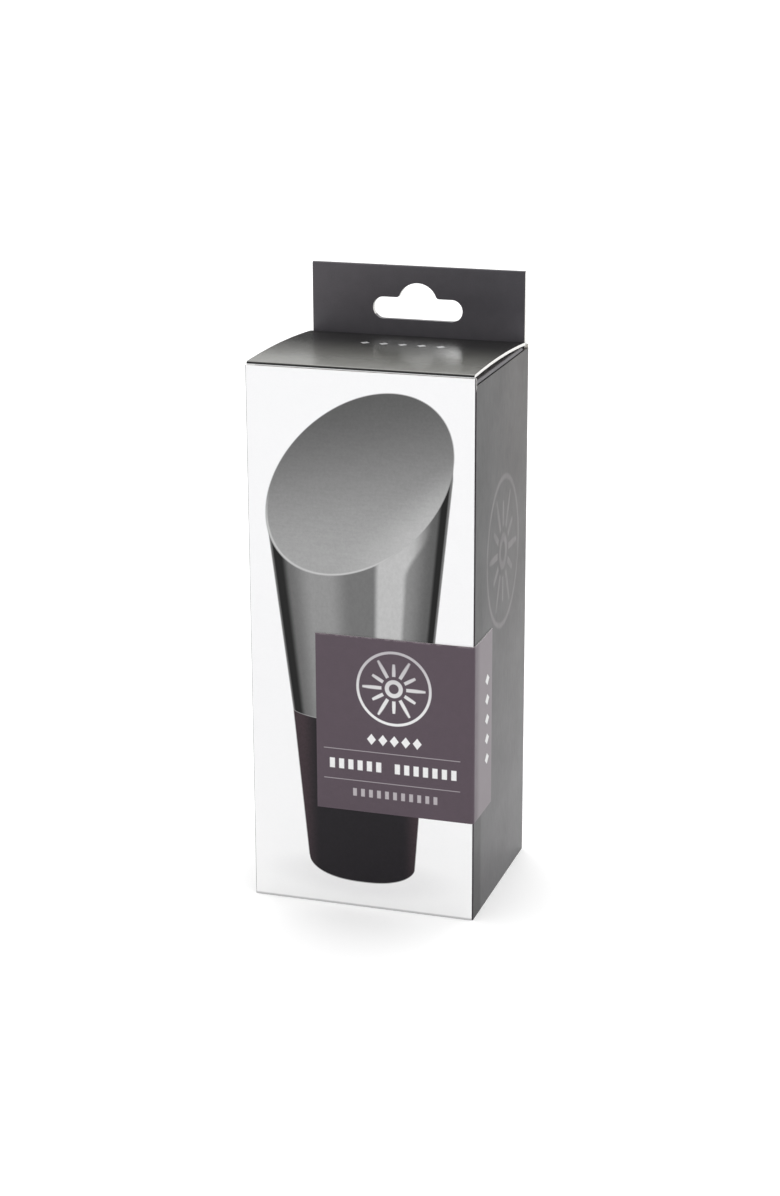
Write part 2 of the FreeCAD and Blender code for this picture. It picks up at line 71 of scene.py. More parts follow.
AXES = {"+x": (0, 1), "-x": (0, -1), "+y": (1, 1), "-y": (1, -1), "+z": (2, 1), "-z": (2, -1)}

# The stopper's head, as the CAD has it, millimetres and degrees.
JOINT_RADIUS = 11.0
HEAD_RADIUS = 15.3
SPIGOT_RADIUS = 5.0
JOINT_ABOVE_BASE = 27.0
SPIGOT_LENGTH = 20.0
FACE_ABOVE_BASE = 65.0
FACE_ANGLE = 35.0
FACE_HEADING = 59.0
RIM_BEVEL = 0.35

HEAD_SIDES = 160

# The floor's half width and the glow that keeps its shadow pale.
FLOOR_SIZE = 80.0
FLOOR_GLOW = 0.21

# The world's light from above, near the horizon, and more of it from a backdrop in one direction.
LIGHT_ABOVE = 0.62
LIGHT_HORIZON = 1.0
LIGHT_BACKDROP = 0.8
BACKDROP_TOWARDS = (-0.29, 0.91, 0.4)

# One very soft lamp: its strength, its spread in degrees, and the way it shines.
LAMP_STRENGTH = 1.35
LAMP_SPREAD = 80.0
LAMP_TOWARDS = (0.08, -0.4, -1.0)

# Black cards that only reflections see, which give the metal its dark bands: azimuths in degrees.
CARD_RADIUS = 0.22
CARD_HEIGHT = 0.15
CARD_SPANS = ((104.0, 160.0), (38.0, 50.0), (196.0, 212.0), (-34.0, -22.0))

# The camera's place in metres, its lens, and the directions of its picture.
CAMERA_PLACE = (0.12519, -0.39197, 0.17874)
CAMERA_LENS = 73.895
CAMERA_RIGHT = (0.95282, 0.30351, -0.00387)
CAMERA_UP = (-0.08607, 0.28239, 0.95543)
CAMERA_FORWARD = (-0.29108, 0.91002, -0.29519)

# The printed stopper's cut face, an ellipse on the front panel: centre and half axes, millimetres.
PRINT_CENTRE = (-0.2, 76.1)
PRINT_LONG = 19.13
PRINT_SHORT = 12.91
PRINT_LEAN = math.radians(42.6)

# The printed stopper's sides at the joint of metal and plug, and how each leans out per millimetre up.
PRINT_JOINT = 35.67
PRINT_LEFT = -12.33
PRINT_RIGHT = 11.65
METAL_LEAN = (-0.1276, 0.107)
PLUG_LEAN = (-0.0961, 0.0766)
PRINT_WIDEST = 16.2

# The front panel's cut corner, millimetres: it shows white above this line on its folded side.
FRONT_FACE = 17.0
SLIVER_TOP = 91.2
SLIVER_SLOPE = -6.0


# ---------------------------------------------------------------- shader maths


def feed(tree, item, socket):
    """Links a field or an output to a socket, or sets the socket to a plain value."""
    if isinstance(item, Field):
        item = item.socket
    if isinstance(item, bpy.types.NodeSocket):
        tree.links.new(item, socket)
    else:
        socket.default_value = item


class Field:
    """A number at each point of a surface, worked out by math nodes."""

    def __init__(self, tree, socket):
        self.tree = tree
        self.socket = socket

    def apply(self, operation, *items):
        node = self.tree.nodes.new("ShaderNodeMath")
        node.operation = operation
        for index, item in enumerate(items):
            feed(self.tree, item, node.inputs[index])
        return Field(self.tree, node.outputs[0])

    def __add__(self, other):
        return self.apply("ADD", self, other)

    def __radd__(self, other):
        return self.apply("ADD", other, self)

    def __sub__(self, other):
        return self.apply("SUBTRACT", self, other)

    def __rsub__(self, other):
        return self.apply("SUBTRACT", other, self)

    def __mul__(self, other):
        return self.apply("MULTIPLY", self, other)

    def __truediv__(self, other):
        return self.apply("DIVIDE", self, other)

    def __abs__(self):
        return self.apply("ABSOLUTE", self)

    def __pow__(self, power):
        return self.apply("POWER", self, power)

    def root(self):
        return self.apply("SQRT", self)

    def part(self):
        return self.apply("FRACT", self)

    def whole(self):
        return self.apply("FLOOR", self)

    def most(self, other):
        return self.apply("MAXIMUM", self, other)

    def least(self, other):
        return self.apply("MINIMUM", self, other)

    def over(self, edge, soft):
        """0 below the edge and 1 above it, with a smooth step as wide as soft each side."""
        if isinstance(edge, Field):
            return (self - edge).over(0.0, soft)
        node = self.tree.nodes.new("ShaderNodeMapRange")
        node.interpolation_type = "SMOOTHSTEP"
        feed(self.tree, self, node.inputs["Value"])
        node.inputs["From Min"].default_value = edge - soft
        node.inputs["From Max"].default_value = edge + soft
        return Field(self.tree, node.outputs[0])

    def under(self, edge, soft):
        return 1.0 - self.over(edge, soft)

    def within(self, low, high, soft):
        return self.over(low, soft) * self.under(high, soft)


def blend(mask, below, above):
    """The colour above where the mask is 1, and the colour below where it is 0."""
    tree = mask.tree
    node = tree.nodes.new("ShaderNodeMix")
    node.data_type = "RGBA"
    feed(tree, mask, node.inputs[0])
    feed(tree, below, node.inputs[6])
    feed(tree, above, node.inputs[7])
    return node.outputs[2]


def blend_number(mask, below, above):
    """The number above where the mask is 1, and the number below where it is 0."""
    return mask * (above - below) + below


def linear(value):
    """A display value, 0 to 1, as linear light."""
    return value / 12.92 if value <= 0.04045 else ((value + 0.055) / 1.055) ** 2.4


def tone(red, green=None, blue=None):
    """Ink that looks like this display colour, 0 to 255, under the scene's light and sheen."""
    green = red if green is None else green
    blue = red if blue is None else blue
    inks = [(linear(part / 255.0) - INK_SHEEN) * INK_GAIN for part in (red, green, blue)]
    return tuple(max(ink, DARKEST_INK) for ink in inks) + (1.0,)


INK_SHEEN = 0.016
INK_GAIN = 0.98
DARKEST_INK = 0.003
WHITE_INK = tone(246, 246, 247)
CORE = tone(243, 242, 239)
INSIDE = tone(226, 223, 215)
CHARCOAL = tone(85, 83, 87)
PALE_INK = tone(168, 166, 168)


class Surface:
    """A material under construction: its shader, and the place and direction of each point."""

    def __init__(self, name):
        self.material = bpy.data.materials.new(name)
        self.material.use_nodes = True
        self.tree = self.material.node_tree
        self.shader = self.tree.nodes["Principled BSDF"]
        self.points = self.tree.nodes.new("ShaderNodeTexCoord")
        scaled = self.tree.nodes.new("ShaderNodeVectorMath")
        scaled.operation = "SCALE"
        scaled.inputs["Scale"].default_value = 1.0 / MM
        self.tree.links.new(self.points.outputs["Object"], scaled.inputs[0])
        self.place = scaled.outputs[0]
        self.x, self.y, self.z = self.split(self.place)
        self.normal = self.split(self.points.outputs["Normal"])

    def split(self, vector):
        node = self.tree.nodes.new("ShaderNodeSeparateXYZ")
        self.tree.links.new(vector, node.inputs[0])
        return tuple(Field(self.tree, output) for output in node.outputs)

    def facing(self, direction):
        """How far the surface faces along an axis such as '+x', from -1 to 1."""
        axis, sign = AXES[direction]
        return self.normal[axis] * float(sign)

    def noise(self, size, stretch=(1.0, 1.0, 1.0), detail=3.0, rough=0.55):
        """Cloudy noise around 0.5, whose blobs are about size millimetres times stretch."""
        mapping = self.tree.nodes.new("ShaderNodeMapping")
        mapping.inputs["Scale"].default_value = [1.0 / (size * part) for part in stretch]
        self.tree.links.new(self.place, mapping.inputs["Vector"])
        node = self.tree.nodes.new("ShaderNodeTexNoise")
        node.inputs["Scale"].default_value = 1.0
        node.inputs["Detail"].default_value = detail
        node.inputs["Roughness"].default_value = rough
        self.tree.links.new(mapping.outputs[0], node.inputs["Vector"])
        return Field(self.tree, node.outputs[0])

    def shade(self, colour, amount):
        """The colour times a field."""
        node = self.tree.nodes.new("ShaderNodeVectorMath")
        node.operation = "SCALE"
        feed(self.tree, colour[:3] if isinstance(colour, tuple) else colour, node.inputs[0])
        feed(self.tree, amount, node.inputs["Scale"])
        return node.outputs[0]

    def bump(self, height, distance):
        """Raises the surface by height times distance, in millimetres."""
        node = self.tree.nodes.new("ShaderNodeBump")
        node.inputs["Strength"].default_value = 1.0
        node.inputs["Distance"].default_value = distance * MM
        feed(self.tree, height, node.inputs["Height"])
        self.tree.links.new(node.outputs[0], self.shader.inputs["Normal"])

    def set(self, **values):
        """Feeds the shader's sockets, named with _ for a space."""
        for name, item in values.items():
            feed(self.tree, item, self.shader.inputs[name.replace("_", " ").title()])

    def specular(self, level):
        """Sets the shader's specular level, the same all over the surface."""
        self.shader.inputs["Specular IOR Level"].default_value = level


# ---------------------------------------------------------------- generic ornaments


def burst(u, v, centre, half_width, half_height, soft):
    """Long and short rays between a hub and a thin ring."""
    across = (u - centre[0]) / half_width
    up = (v - centre[1]) / half_height
    radius = (across * across + up * up).root()
    turn = up.apply("ARCTAN2", up, across) / (2.0 * math.pi)
    fine = soft / half_width
    ray = abs((turn * 12.0 + 0.5).part() - 0.5) * 2.0
    long_ray = abs((turn * 6.0 + 0.5).part() - 0.5) * 2.0
    taper = (0.86 - radius) * 0.95
    rays = (taper - ray).over(0.0, 0.09) * radius.within(0.33, 0.66, fine)
    long_taper = (1.0 - radius) * 0.36
    long_rays = (long_taper - long_ray).over(0.0, 0.05) * radius.within(0.33, 0.84, fine)
    ring = radius.within(0.93, 1.0, fine)
    hub = radius.within(0.13, 0.24, fine)
    return rays.most(long_rays).most(ring).most(hub)


def row_cells(along, centre, pitch, count):
    """Splits a row into cells: the place across each, -0.5 to 0.5, its number, and the row's mask."""
    steps = (along - centre) / pitch + count / 2.0
    return steps.part() - 0.5, steps.whole(), steps.within(0.0, float(count), 0.001)


def diamonds(along, across, centre, pitch, size, soft):
    """Five small diamonds in a row."""
    place, _, row = row_cells(along, centre[0], pitch, 5)
    reach = abs(place) * pitch + abs(across - centre[1]) * 0.8
    return reach.under(size, soft) * row


def blocks(along, across, centre, pitch, count, gap_after, size, soft):
    """A row of small upright blocks, with one cell left empty."""
    place, number, row = row_cells(along, centre[0], pitch, count)
    width = (abs(place) * pitch).under(size[0] / 2.0, soft)
    height = abs(across - centre[1]).under(size[1] / 2.0, soft)
    shown = 1.0
    if gap_after is not None:
        shown = abs(number - float(gap_after)).over(0.5, 0.01)
    return width * height * row * shown


# ---------------------------------------------------------------- carton


def board(name, outward, ink, wraps=(), roughness=0.34, specular=0.2):
    """Coated folding board: ink on the outward side, plain inside, and a pale cut edge.

    ink takes the surface and returns its printed colour. wraps maps a direction to a function that
    says where a crease, and not a cut, is on that edge.
    """
    surface = Surface(name)
    facing = surface.facing(outward)
    printed = facing.over(0.25, 0.05)
    for direction, where in wraps:
        printed = printed.most(surface.facing(direction).over(0.6, 0.05) * where(surface))
    inside = facing.under(-0.6, 0.05)
    fibre = surface.noise(0.9, (1.0, 1.0, 2.2), 4.0)
    cloud = surface.noise(9.0, (1.0, 1.0, 1.0), 2.0)
    plain = surface.shade(INSIDE, 0.9 + fibre * 0.12 + cloud * 0.08)
    core = surface.shade(CORE, 0.86 + surface.noise(0.25, (4.0, 4.0, 1.0), 2.0) * 0.24)
    colour = blend(inside, core, plain)
    colour = blend(printed, colour, ink(surface))
    gloss = blend_number(printed, 0.8, roughness + (cloud - 0.5) * 0.1 + (fibre - 0.5) * 0.08)
    surface.set(base_color=colour, roughness=gloss)
    surface.specular(specular)
    surface.bump(fibre * 0.7 + surface.noise(0.3, detail=2.0) * 0.3, 0.012)
    return surface.material


def plain_board(name):
    """Uncoated board, as the cradle and the glued flaps show it."""
    surface = Surface(name)
    fibre = surface.noise(0.8, (2.4, 1.0, 1.0), 4.0)
    fleck = surface.noise(0.35, (1.6, 1.0, 1.0), 1.0).over(0.68, 0.04)
    cloud = surface.noise(7.0, detail=2.0)
    colour = surface.shade(INSIDE, 0.88 + fibre * 0.14 + cloud * 0.08)
    colour = blend(fleck * 0.25, colour, tone(170, 160, 140))
    surface.set(base_color=colour, roughness=0.84 + (fibre - 0.5) * 0.1)
    surface.bump(fibre, 0.02)
    return surface.material


def scuffs(surface, colour, rub):
    """Ink worn paler where rub is 1, in soft patches."""
    patches = surface.noise(2.2, detail=4.0, rough=0.6).over(0.5, 0.22)
    return blend(rub * (patches * 0.8 + 0.2) * 0.3, colour, PALE_INK)


def charcoal_ink(surface, ink=CHARCOAL):
    """Even dark ink, with the faint mottle of offset printing."""
    mottle = surface.noise(2.2, detail=4.0)
    grain = surface.noise(0.25, detail=2.0)
    return surface.shade(ink, 0.78 + mottle * 0.24 + grain * 0.2)


def tab_ink(surface):
    """The hang tab's charcoal, a little lighter to the left, with painted light that makes it lighter
    towards the lid.
    """
    ink = blend(surface.x.over(0.0, 18.0), tone(91, 88, 92), tone(80, 78, 82))
    # Painted light: lighter towards the lid, to lift the shade that falls near it.
    return charcoal_ink(surface, blend(surface.z.under(99.0, 3.0), ink, tone(93, 91, 95)))


def side_ink(edges):
    """Charcoal with painted shade, darker upwards, towards the front and in a strip at the front crease,
    with a ghosted ornament and a rubbed rear edge.
    """

    def ink(surface):
        y, z = surface.y, surface.z
        # Painted shade: the ink darkens upwards and towards the front.
        near_front = blend(z.over(45.0, 45.0), tone(72, 71, 73), tone(26, 22, 21))
        near_rear = blend(z.over(45.0, 45.0), tone(86, 85, 86), tone(54, 50, 48))
        colour = charcoal_ink(surface, blend(y.over(0.0, 16.0), near_front, near_rear))
        # Painted shade: a dark strip along the front crease.
        painted_crease_shade = y.under(edges["front"] + 4.4, 0.7)
        colour = blend(painted_crease_shade * 0.95, colour, tone(24, 18, 24))
        middle = (edges["front"] + edges["rear"]) / 2.0
        mark = burst(y, z, (middle + 0.9, 61.6), 10.5, 13.6, 0.25)
        patchy = surface.noise(3.0, detail=3.0).over(0.42, 0.3)
        colour = blend(mark * (patchy * 0.25 + 0.2), colour, tone(128, 122, 124))
        rub = y.over(edges["rear"] - 0.25, 0.25)
        dent = abs(z - edges["top"] + 9.5).under(0.9, 1.0)
        corner = y.over(edges["rear"] - 1.0, 0.8) * dent
        return scuffs(surface, colour, rub.most(corner))

    return ink


def lid_ink(edges):
    """Charcoal with a painted reflection, lighter towards the front and darker towards the tab, with five
    small diamonds, and a front edge painted dark as shade that is white only at its very foot.
    """

    def ink(surface):
        # Painted reflection: the ink is lighter towards the front and darker towards the tab.
        base = blend(surface.y.over(-5.0, 13.0), tone(118, 118, 113), tone(47, 47, 46))
        colour = charcoal_ink(surface, base)
        beads = diamonds(surface.x, surface.y, (1.0, 4.0), 3.4, 0.85, 0.08)
        colour = blend(beads * 0.8, colour, tone(215, 215, 216))
        # Painted shade: the front edge is much darker than the charcoal, for the shade at the crease.
        front = surface.facing("-y").over(0.6, 0.1)
        colour = blend(front, colour, tone(30, 29, 29))
        return blend(front * surface.z.under(edges["lid_front"], 0.04), colour, WHITE_INK)

    return ink


def back_ink(surface):
    """Charcoal with a small centred panel of ornaments."""
    colour = charcoal_ink(surface)
    mark = burst(surface.x, surface.z, (0.0, 66.0), 7.2, 8.7, 0.12)
    rule = abs(abs(surface.z - 47.0) - 5.0).under(0.09, 0.04) * abs(surface.x).under(13.0, 0.05)
    row = blocks(surface.x, surface.z, (0.0, 49.2), 1.5, 13, 6, (0.95, 1.6), 0.06)
    small = blocks(surface.x, surface.z, (0.0, 45.0), 1.3, 11, None, (0.75, 1.2), 0.06)
    beads = diamonds(surface.x, surface.z, (0.0, 54.6), 2.1, 0.75, 0.06)
    colour = blend(mark.most(beads).most(row) * 0.8, colour, tone(200, 199, 200))
    colour = blend(rule.most(small) * 0.7, colour, tone(150, 148, 150))
    rub = abs(surface.x).over(19.75, 0.25)
    return scuffs(surface, colour, rub)


# ---------------------------------------------------------------- the picture on the front panel


def picture_outline(u, v):
    """Where the printed stopper is: masks of its face, its metal side and its plug.

    It also returns the reach, 1 at the face's edge, and the share, 0 to 1 across the metal side.
    """
    du = u - PRINT_CENTRE[0]
    dv = v - PRINT_CENTRE[1]
    along = du * math.cos(PRINT_LEAN) + dv * math.sin(PRINT_LEAN)
    across = dv * math.cos(PRINT_LEAN) - du * math.sin(PRINT_LEAN)
    reach = ((along / PRINT_LONG) ** 2.0 + (across / PRINT_SHORT) ** 2.0).root()
    face = reach.under(1.0, 0.009)
    above = v - PRINT_JOINT
    left = above * METAL_LEAN[0] + PRINT_LEFT
    right = (above * METAL_LEAN[1] + PRINT_RIGHT).least(PRINT_WIDEST)
    body = (u - left).over(0.0, 0.12) * (u - right).under(0.0, 0.12)
    body = body * (v - (u + 16.73) * 0.363 - 69.67).under(0.0, 0.1)
    joint = PRINT_JOINT - ((1.0 - (u / 12.4) ** 2.0).most(0.0)).root() * 1.8
    metal = body * (v - joint).over(0.0, 0.12)
    plug_left = above * PLUG_LEAN[0] + PRINT_LEFT
    plug_right = above * PLUG_LEAN[1] + PRINT_RIGHT
    foot = 8.7 - (1.0 - abs(u / 9.68) ** 2.4).most(0.0).root() * 4.03
    plug = (u - plug_left).over(0.0, 0.12) * (u - plug_right).under(0.0, 0.12)
    plug = plug * (v - joint).under(0.0, 0.12) * (v - foot).over(0.0, 0.15)
    share = (u - left) / (right - left)
    return face, reach, metal, share, plug


def face_tone(surface, u, v):
    """The printed face: darker at its top, fine grain, and a soft light sweep low on the right."""
    height = v - u * 0.2
    colour = blend(height.under(77.0, 15.5), tone(93), tone(164))
    sweep = abs(v - u * 0.8 - 60.5).under(4.0, 5.0) * u.over(2.0, 9.0)
    colour = blend(sweep * 0.5, colour, tone(204))
    grain = surface.noise(0.4, detail=4.0, rough=0.75)
    streak = surface.noise(0.45, (8.0, 1.0, 1.0), 2.0)
    return surface.shade(colour, 0.74 + grain * 0.38 + streak * 0.14)


def side_tone(surface, share, v):
    """The printed side: upright bands of dark and light, as polished metal reflects them."""
    colour = blend(share.over(0.16, 0.07), tone(108), tone(146))
    colour = blend(share.over(0.39, 0.07), colour, tone(115))
    flare = v.over(65.0, 4.5) * 0.12
    colour = blend(share.over(0.615, 0.02), colour, tone(188))
    colour = blend((share - flare).over(0.785, 0.018), colour, tone(136))
    colour = blend(share.over(0.865, 0.075), colour, tone(94))
    colour = blend(share.under(0.075, 0.022), colour, tone(40))
    colour = blend(share.over(0.948, 0.012), colour, tone(26))
    colour = blend(share.under(0.010, 0.008).most(share.over(0.988, 0.006)), colour, tone(118))
    grain = surface.noise(0.4, (1.0, 1.0, 1.6), 4.0, 0.75)
    return surface.shade(colour, 0.82 + grain * 0.36)


def plug_tone(surface, u, v):
    """The printed silicone: near black, speckled, with soft warm edges."""
    colour = blend(abs(u + v * 0.012).over(9.0, 1.6), tone(42, 40, 43), tone(66, 56, 60))
    speckle = surface.noise(0.35, detail=3.0, rough=0.7)
    return surface.shade(colour, 0.5 + speckle)


def front_ink(surface):
    """White coated board with the printed picture of the stopper, and painted light and shade near its
    foot and folded sides.
    """
    u, v = surface.x, surface.z
    face, reach, metal, share, plug = picture_outline(u, v)
    # Painted light: the white is lighter towards the foot, to lift the shade near the floor.
    colour = blend(v.under(16.0, 26.0), WHITE_INK, tone(254))
    shadow = ((u / 14.5) ** 2.0 + ((v - 5.8) / 3.4) ** 2.0).root().under(1.0, 0.42)
    colour = blend(shadow * 0.18, colour, tone(196, 194, 196))
    colour = blend(plug, colour, plug_tone(surface, u, v))
    colour = blend(metal, colour, side_tone(surface, share, v))
    colour = blend(face, colour, face_tone(surface, u, v))
    rim = reach.within(0.978, 0.996, 0.008) * (v + u * 0.35).under(65.5, 4.0)
    colour = blend(rim * 0.75, colour, tone(205))
    # Painted shadow: a thin dark line along the foot, where the carton meets the floor.
    painted_contact_shadow = v.under(0.35, 0.2)
    colour = blend(painted_contact_shadow * 0.55, colour, tone(120, 119, 121))
    # Painted shade: the folded sides take the dark of the shade along the front crease.
    folded = abs(surface.normal[0]).over(0.6, 0.1)
    colour = blend(folded, colour, tone(44, 38, 44))
    fleck = surface.noise(0.3, detail=2.0)
    return surface.shade(colour, 0.985 + fleck * 0.03)


def label_material(base, top):
    """Plum-grey satin sticker with light ornaments, on the front and round its corner, where a painted
    reflection makes it lighter.
    """
    surface = Surface("label_paper")
    u, v = surface.x, surface.z - base
    on_front = surface.facing("-y").over(0.6, 0.2)
    on_side = surface.facing("+x").over(0.6, 0.2)
    mottle = surface.noise(1.6, detail=4.0)
    grain = surface.noise(0.18, detail=2.0)
    colour = surface.shade(tone(91, 80, 88), 0.86 + mottle * 0.14 + grain * 0.14)
    # Painted reflection: the part round the corner, past the crease, is lighter.
    painted_side_sheen = on_side * surface.y.over(-14.6, 1.5)
    colour = blend(painted_side_sheen, colour, surface.shade(tone(120, 112, 117), 0.9 + mottle * 0.2))
    mark = burst(u, v, (5.9, 23.0), 6.7, 6.7, 0.07)
    foil = v.over(23.4, 7.0)
    colour = blend(mark * on_front, colour, blend(foil, tone(236), tone(186, 182, 186)))
    beads = diamonds(u, v, (5.95, 13.5), 2.05, 0.8, 0.06)
    title = blocks(u, v, (5.65, 8.5), 1.68, 14, 6, (0.92, 1.8), 0.07)
    small = blocks(u, v, (6.05, 3.5), 1.45, 11, None, (0.68, 1.4), 0.07)
    rules = abs(abs(v - 8.4) - 2.75).under(0.07, 0.05) * u.within(-6.8, 17.7, 0.05)
    colour = blend(beads.most(title) * on_front, colour, tone(238))
    colour = blend(small * on_front, colour, tone(182, 176, 180))
    colour = blend(rules * on_front * 0.8, colour, tone(176, 170, 174))
    upright = diamonds(v, surface.y, (16.3, -9.0), 3.6, 1.0, 0.08)
    colour = blend(upright * on_side, colour, tone(214))
    cut = surface.facing("-x").most(surface.facing("+y")).most(abs(surface.normal[2])).over(0.7, 0.1)
    colour = blend(cut, colour, CORE)
    torn = surface.noise(0.6, detail=3.0).over(0.5, 0.15)
    colour = blend(surface.z.over(top - 0.25, 0.12) * torn * 0.5, colour, tone(150, 140, 146))
    surface.set(base_color=colour, roughness=0.4 + (mottle - 0.5) * 0.12)
    surface.specular(0.25)
    surface.bump(grain * 0.5 + mark * on_front * 0.5, 0.01)
    return surface.material


# ---------------------------------------------------------------- stopper


def polished_metal():
    """Dark plated zinc, polished round the side."""
    surface = Surface("gunmetal_side")
    wave = surface.noise(14.0, (1.0, 1.0, 1.6), 2.0)
    fine = surface.noise(0.3, (1.0, 1.0, 8.0), 3.0)
    colour = surface.shade(tone(134, 134, 137), 0.9 + wave * 0.14 + fine * 0.05)
    surface.set(base_color=colour, metallic=1.0, roughness=0.12 + fine * 0.08)
    surface.bump(wave * 0.8 + fine * 0.02, 0.05)
    return surface.material


def brushed_metal():
    """The same plating, finely brushed across the slanted face, with painted shade that darkens it towards
    the face's high side.
    """
    surface = Surface("gunmetal_face")
    heading = math.radians(FACE_HEADING)
    along = surface.x * -math.sin(heading) + surface.y * math.cos(heading)
    across = surface.x * math.cos(heading) + surface.y * math.sin(heading)
    lines = surface.tree.nodes.new("ShaderNodeCombineXYZ")
    feed(surface.tree, along * 0.12, lines.inputs[0])
    feed(surface.tree, across * 7.0, lines.inputs[1])
    node = surface.tree.nodes.new("ShaderNodeTexNoise")
    node.inputs["Scale"].default_value = 1.0
    node.inputs["Detail"].default_value = 4.0
    surface.tree.links.new(lines.outputs[0], node.inputs["Vector"])
    brush = Field(surface.tree, node.outputs[0])
    cloud = surface.noise(8.0, detail=2.0)
    # Painted shade: lighter towards the face's low side, darker towards its high side.
    shade = blend(across.over(0.0, 17.0), tone(158, 158, 160), tone(122, 122, 124))
    colour = surface.shade(shade, 0.78 + brush * 0.34 + cloud * 0.1)
    surface.set(base_color=colour, metallic=1.0, roughness=0.30 + brush * 0.14)
    surface.bump(brush, 0.01)
    return surface.material


def silicone():
    """Matte black silicone, with its fine moulded texture and a trace of dust."""
    surface = Surface("silicone")
    speckle = surface.noise(0.22, detail=2.0)
    dust = surface.noise(0.7, detail=4.0, rough=0.7).over(0.66, 0.06)
    colour = surface.shade(tone(40, 38, 41), 0.8 + speckle * 0.4)
    colour = blend(dust * 0.2, colour, tone(110, 106, 106))
    surface.set(base_color=colour, roughness=0.56 + (speckle - 0.5) * 0.2)
    surface.bump(speckle, 0.03)
    return surface.material


def turned_steel(name):
    """Satin steel with the fine rings that turning leaves."""
    surface = Surface(name)
    radius = (surface.x * surface.x + surface.y * surface.y).root()
    rings = (radius * 5.0 + surface.noise(2.0) * 0.8).part()
    fine = surface.noise(0.4, detail=3.0)
    colour = surface.shade(tone(196, 196, 198), 0.86 + rings * 0.1 + fine * 0.1)
    surface.set(base_color=colour, metallic=1.0, roughness=0.26 + fine * 0.14)
    surface.bump(rings * 0.5 + fine * 0.2, 0.01)
    return surface.material


def ring_points(radius, height, count):
    """A level or slanted ring: radius and height are numbers or functions of the angle."""
    points = []
    for step in range(count):
        angle = 2.0 * math.pi * step / count
        level = height(angle) if callable(height) else height
        around = radius(angle) if callable(radius) else radius
        points.append(Vector((around * math.cos(angle), around * math.sin(angle), level)))
    return points


def head_rings(base, count):
    """The head's rings from the end of its spigot, out at the joint and up to its slanted rim."""
    joint = base + JOINT_ABOVE_BASE
    spigot_end = joint - SPIGOT_LENGTH
    slope = math.tan(math.radians(FACE_ANGLE))
    face = base + FACE_ABOVE_BASE
    top = face + HEAD_RADIUS * slope
    flare = (HEAD_RADIUS - JOINT_RADIUS) / (top - joint)
    heading = math.radians(FACE_HEADING)

    def rim_height(angle):
        tilt = slope * math.cos(angle - heading)
        return (face + tilt * (JOINT_RADIUS - flare * joint)) / (1.0 - tilt * flare)

    def rim_radius(angle):
        return JOINT_RADIUS + flare * (rim_height(angle) - joint)

    rings = [ring_points(SPIGOT_RADIUS, spigot_end, count), ring_points(SPIGOT_RADIUS, joint, count)]
    rings.append(ring_points(JOINT_RADIUS, joint, count))
    for step in range(1, 5):
        share = step / 5.0

        def height(angle, share=share):
            return joint + share * (rim_height(angle) - joint)

        def radius(angle, share=share):
            return JOINT_RADIUS + flare * (height(angle, share) - joint)

        rings.append(ring_points(radius, height, count))
    rings.append(ring_points(rim_radius, rim_height, count))
    return rings


def stopper_head(base):
    """The head with a small bevel round its face, in place of the CAD's sharp rim."""
    mesh = bmesh.new()
    rings = [[mesh.verts.new(point) for point in ring] for ring in head_rings(base, HEAD_SIDES)]
    for lower, upper in zip(rings, rings[1:]):
        for step in range(HEAD_SIDES):
            after = (step + 1) % HEAD_SIDES
            mesh.faces.new((lower[step], lower[after], upper[after], upper[step]))
    mesh.faces.new(list(reversed(rings[0])))
    face = mesh.faces.new(rings[-1])
    rim = list(face.edges)
    bmesh.ops.bevel(
        mesh, geom=rim, offset=RIM_BEVEL, offset_type="OFFSET", segments=3, profile=0.5, affect="EDGES"
    )
    bmesh.ops.scale(mesh, vec=(MM, MM, MM), verts=mesh.verts)
    bmesh.ops.recalc_face_normals(mesh, faces=mesh.faces)
    tilt = Matrix.Rotation(math.radians(-FACE_ANGLE), 3, "Y")
    turn = Matrix.Rotation(math.radians(FACE_HEADING), 3, "Z")
    face_normal = turn @ tilt @ Vector((0.0, 0.0, 1.0))
    for part in mesh.faces:
        part.smooth = True
        part.material_index = 1 if part.normal.dot(face_normal) > 0.9999 else 0
    data = bpy.data.meshes.new("stopper_head_bevelled")
    mesh.to_mesh(data)
    mesh.free()
    data.set_sharp_from_angle(angle=math.radians(32.0))
    head = bpy.data.objects.new("stopper_head_bevelled", data)
    bpy.context.scene.collection.objects.link(head)
    data.materials.append(polished_metal())
    data.materials.append(brushed_metal())
    return head


# ---------------------------------------------------------------- surroundings


def floor():
    """A plain pale sheet, much larger than the view."""
    mesh = bmesh.new()
    bmesh.ops.create_grid(mesh, x_segments=24, y_segments=24, size=FLOOR_SIZE)
    data = bpy.data.meshes.new("floor")
    mesh.to_mesh(data)
    mesh.free()
    sheet = bpy.data.objects.new("floor", data)
    bpy.context.scene.collection.objects.link(sheet)
    surface = Surface("floor_paper")
    cloud = surface.noise(60.0, detail=2.0)
    surface.set(base_color=surface.shade((0.9, 0.9, 0.9, 1.0), 0.995 + cloud * 0.01), roughness=0.9)
    surface.set(emission_color=(1.0, 1.0, 1.0, 1.0), emission_strength=FLOOR_GLOW)
    surface.specular(0.1)
    data.materials.append(surface.material)


